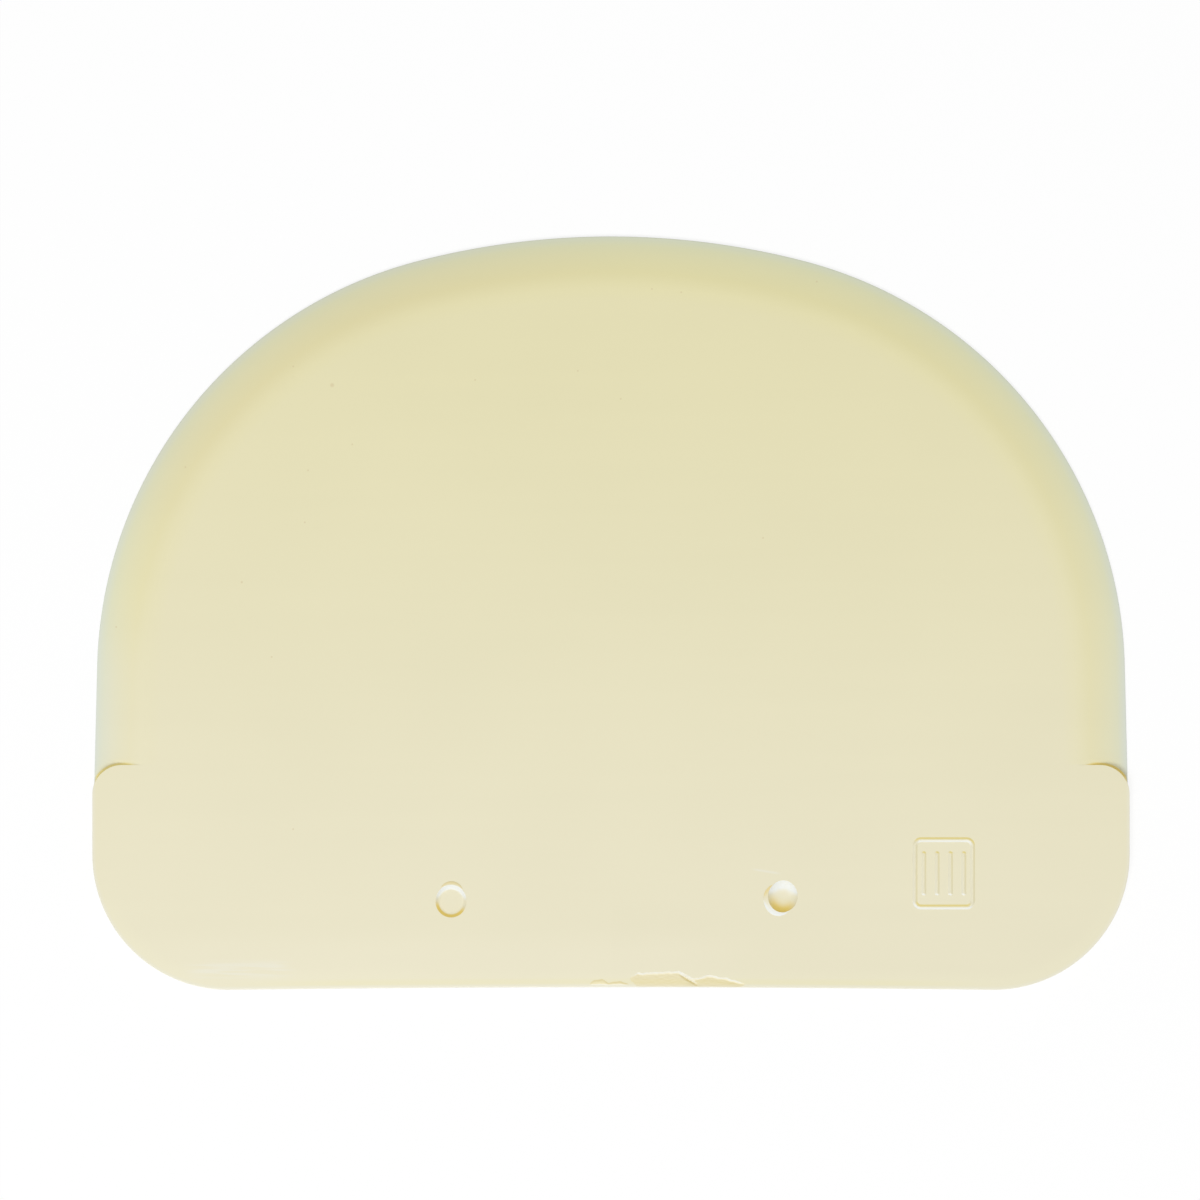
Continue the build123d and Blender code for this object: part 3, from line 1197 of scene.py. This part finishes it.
# A few dark specks lie in the plastic, and the face has a faint scratch and some pale streaks.
flat_place = Pattern.node("ShaderNodeCombineXYZ", {}, {"X": x, "Y": y})
specked = 0
for speck_x, speck_y, radius in specks:
    centre = {0: flat_place, 1: (speck_x, speck_y, 0)}
    away = Pattern.node("ShaderNodeVectorMath", {"operation": "DISTANCE"}, centre, "Value")
    specked = faded(away, radius, 0.3 * radius) + specked
colour = blended(colour, speck_colour, specked * speck_strength)

scratch_place = Pattern.node(
    "ShaderNodeMapping",
    {"vector_type": "TEXTURE"},
    {"Vector": flat_place, "Location": scratch_centre, "Rotation": (0, 0, scratch_turn)},
)
scratch_along = abs(Pattern.node("ShaderNodeSeparateXYZ", {}, {0: scratch_place}, 0))
scratch_across = abs(Pattern.node("ShaderNodeSeparateXYZ", {}, {0: scratch_place}, 1))
scratch = faded(scratch_across, *scratch_width) * faded(scratch_along, *scratch_length)
pale_streak_height = faded(abs(y - (grip_edge_y + pale_streak_rise)), *pale_streak_width)
pale_streaks = pale_streak_height * faded(abs(x + pale_streak_offset), *pale_streak_length)
pale_streaks = pale_streaks * faded(grain(stretched(place, pale_streak_stretch), 1.0, 1.0), *pale_streak_gaps)
scratch_and_streaks = scratch * scratch_strength + pale_streaks * pale_streak_strength
colour = blended(colour, white_colour, scratch_and_streaks)

# Painted light beside the stops' walls; painted gold and amber shade on walls turned from the
# lamp; painted white highlights on walls turned towards it, and strained white at the torn rim.
painted_amber_shade = painted("amber_shade")
strain_and_highlight_share = painted("strain_and_highlight")
painted_gold_shade = painted("gold_wall_shade")
painted_light_beside_wall = faded(past_grip, *beside_wall_reach) * on_blade
painted_light_beside_wall = painted_light_beside_wall * faded(arch_gap, *beside_wall_gap)
colour = blended(colour, lit_colour, painted_light_beside_wall * beside_wall_strength)
colour = blended(colour, gold_shade_colour, painted_gold_shade)
colour = blended(colour, shade_amber_colour, painted_amber_shade)
unevenly = grain(place, white_patch_scale, 1.0) - 0.5
colour = blended(colour, white_colour, strain_and_highlight_share * (white_cover + white_patches * unevenly))

# The mould was finely stoned, so the sheen is soft and a little uneven.
stoned = grain(place, stoned_scale, 2.0)
roughness = plastic_roughness + (clouds - 0.5) * cloud_roughness
roughness = roughness + (stoned - 0.5) * stoned_roughness + strain_and_highlight_share * white_roughness
bump_inputs = {"Strength": stoned_bump, "Distance": stoned_depth, "Height": stoned}
bump = Pattern.node("ShaderNodeBump", {}, bump_inputs)

plastic.node_tree.links.new(colour.socket, shader.inputs["Base Color"])
plastic.node_tree.links.new(roughness.socket, shader.inputs["Roughness"])
plastic.node_tree.links.new(bump.socket, shader.inputs["Normal"])
scraper.data.materials.clear()
scraper.data.materials.append(plastic)
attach(scraper, "root")
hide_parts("scraper")

# Table
# A plain white surface under the plate, which fades to pure white but keeps a faint shadow.
table_size = 3
table_gap = 0.02 * mm
paper_colour = (0.99, 0.99, 0.99, 1)
paper_glow_share = 0.8
floor_mesh = bmesh.new()
bmesh.ops.create_grid(floor_mesh, x_segments=1, y_segments=1, size=table_size)
bmesh.ops.translate(floor_mesh, verts=floor_mesh.verts[:], vec=(0, 0, -table_gap))
floor = finished_object("table", floor_mesh)
paper = bpy.data.materials.new("white_paper")
paper.use_nodes = True
nodes = paper.node_tree.nodes
links = paper.node_tree.links
nodes.clear()
diffuse = nodes.new("ShaderNodeBsdfDiffuse")
diffuse.inputs["Color"].default_value = paper_colour
paper_glow = nodes.new("ShaderNodeEmission")
paper_glow.inputs["Strength"].default_value = 1
blend = nodes.new("ShaderNodeMixShader")
links.new(diffuse.outputs[0], blend.inputs[1])
links.new(paper_glow.outputs[0], blend.inputs[2])
output = nodes.new("ShaderNodeOutputMaterial")
links.new(blend.outputs[0], output.inputs["Surface"])


def seen_directly(tree, share):
    """A factor that is the given share for rays that see the background, and 0 for light."""
    path = tree.nodes.new("ShaderNodeLightPath")
    total = path.outputs["Is Camera Ray"]
    for name in ("Is Glossy Ray", "Is Transmission Ray"):
        largest = tree.nodes.new("ShaderNodeMath")
        largest.operation = "MAXIMUM"
        tree.links.new(total, largest.inputs[0])
        tree.links.new(path.outputs[name], largest.inputs[1])
        total = largest.outputs[0]
    scaled = tree.nodes.new("ShaderNodeMath")
    scaled.operation = "MULTIPLY"
    scaled.inputs[1].default_value = share
    tree.links.new(total, scaled.inputs[0])
    return scaled.outputs[0]


links.new(seen_directly(paper.node_tree, paper_glow_share), blend.inputs["Fac"])
floor.data.materials.append(paper)

# Light
# Even white light from all round, and one soft lamp low on the grip side, a little to the left.
dome_level = 0.557
key_level = 0.51
key_elevation = math.radians(60)
key_side = math.radians(17)
key_distance = 1.8
key_size = 0.63
world = bpy.data.worlds.new("studio")
bpy.context.scene.world = world
world.use_nodes = True
sky = world.node_tree.nodes["Background"]
sky.inputs["Color"].default_value = (1, 1, 1, 1)
sky.inputs["Strength"].default_value = dome_level
backdrop = world.node_tree.nodes.new("ShaderNodeBackground")
backdrop.inputs["Strength"].default_value = 1
either = world.node_tree.nodes.new("ShaderNodeMixShader")
world.node_tree.links.new(seen_directly(world.node_tree, 1), either.inputs["Fac"])
world.node_tree.links.new(sky.outputs[0], either.inputs[1])
world.node_tree.links.new(backdrop.outputs[0], either.inputs[2])
world.node_tree.links.new(either.outputs[0], world.node_tree.nodes["World Output"].inputs[0])

key_way = Vector((
    -math.sin(key_side) * math.cos(key_elevation),
    -math.cos(key_side) * math.cos(key_elevation),
    math.sin(key_elevation),
))
key_data = bpy.data.lights.new("key", "AREA")
key_data.shape = "SQUARE"
key_data.size = key_size
key_data.energy = key_level * math.pi**2 * key_distance**2
key = bpy.data.objects.new("key", key_data)
key.location = key_way * key_distance
key.rotation_euler = key_way.to_track_quat("Z", "Y").to_euler()
bpy.context.scene.collection.objects.link(key)

# Camera
# It looks straight down on the face, as the photograph does.
view_width = 184.6 * mm
view_centre = Vector((-1.69 * mm, 2.05 * mm, face_z))
camera_height = 0.9
camera_data = bpy.data.cameras.new("camera")
camera_data.sensor_width = 36
camera_data.lens = camera_data.sensor_width * camera_height / view_width
camera_data.clip_start = 0.01
camera = bpy.data.objects.new("camera", camera_data)
camera.location = view_centre + Vector((0, 0, camera_height))
bpy.context.scene.collection.objects.link(camera)
bpy.context.scene.camera = camera
bpy.context.scene.view_settings.view_transform = "Standard"
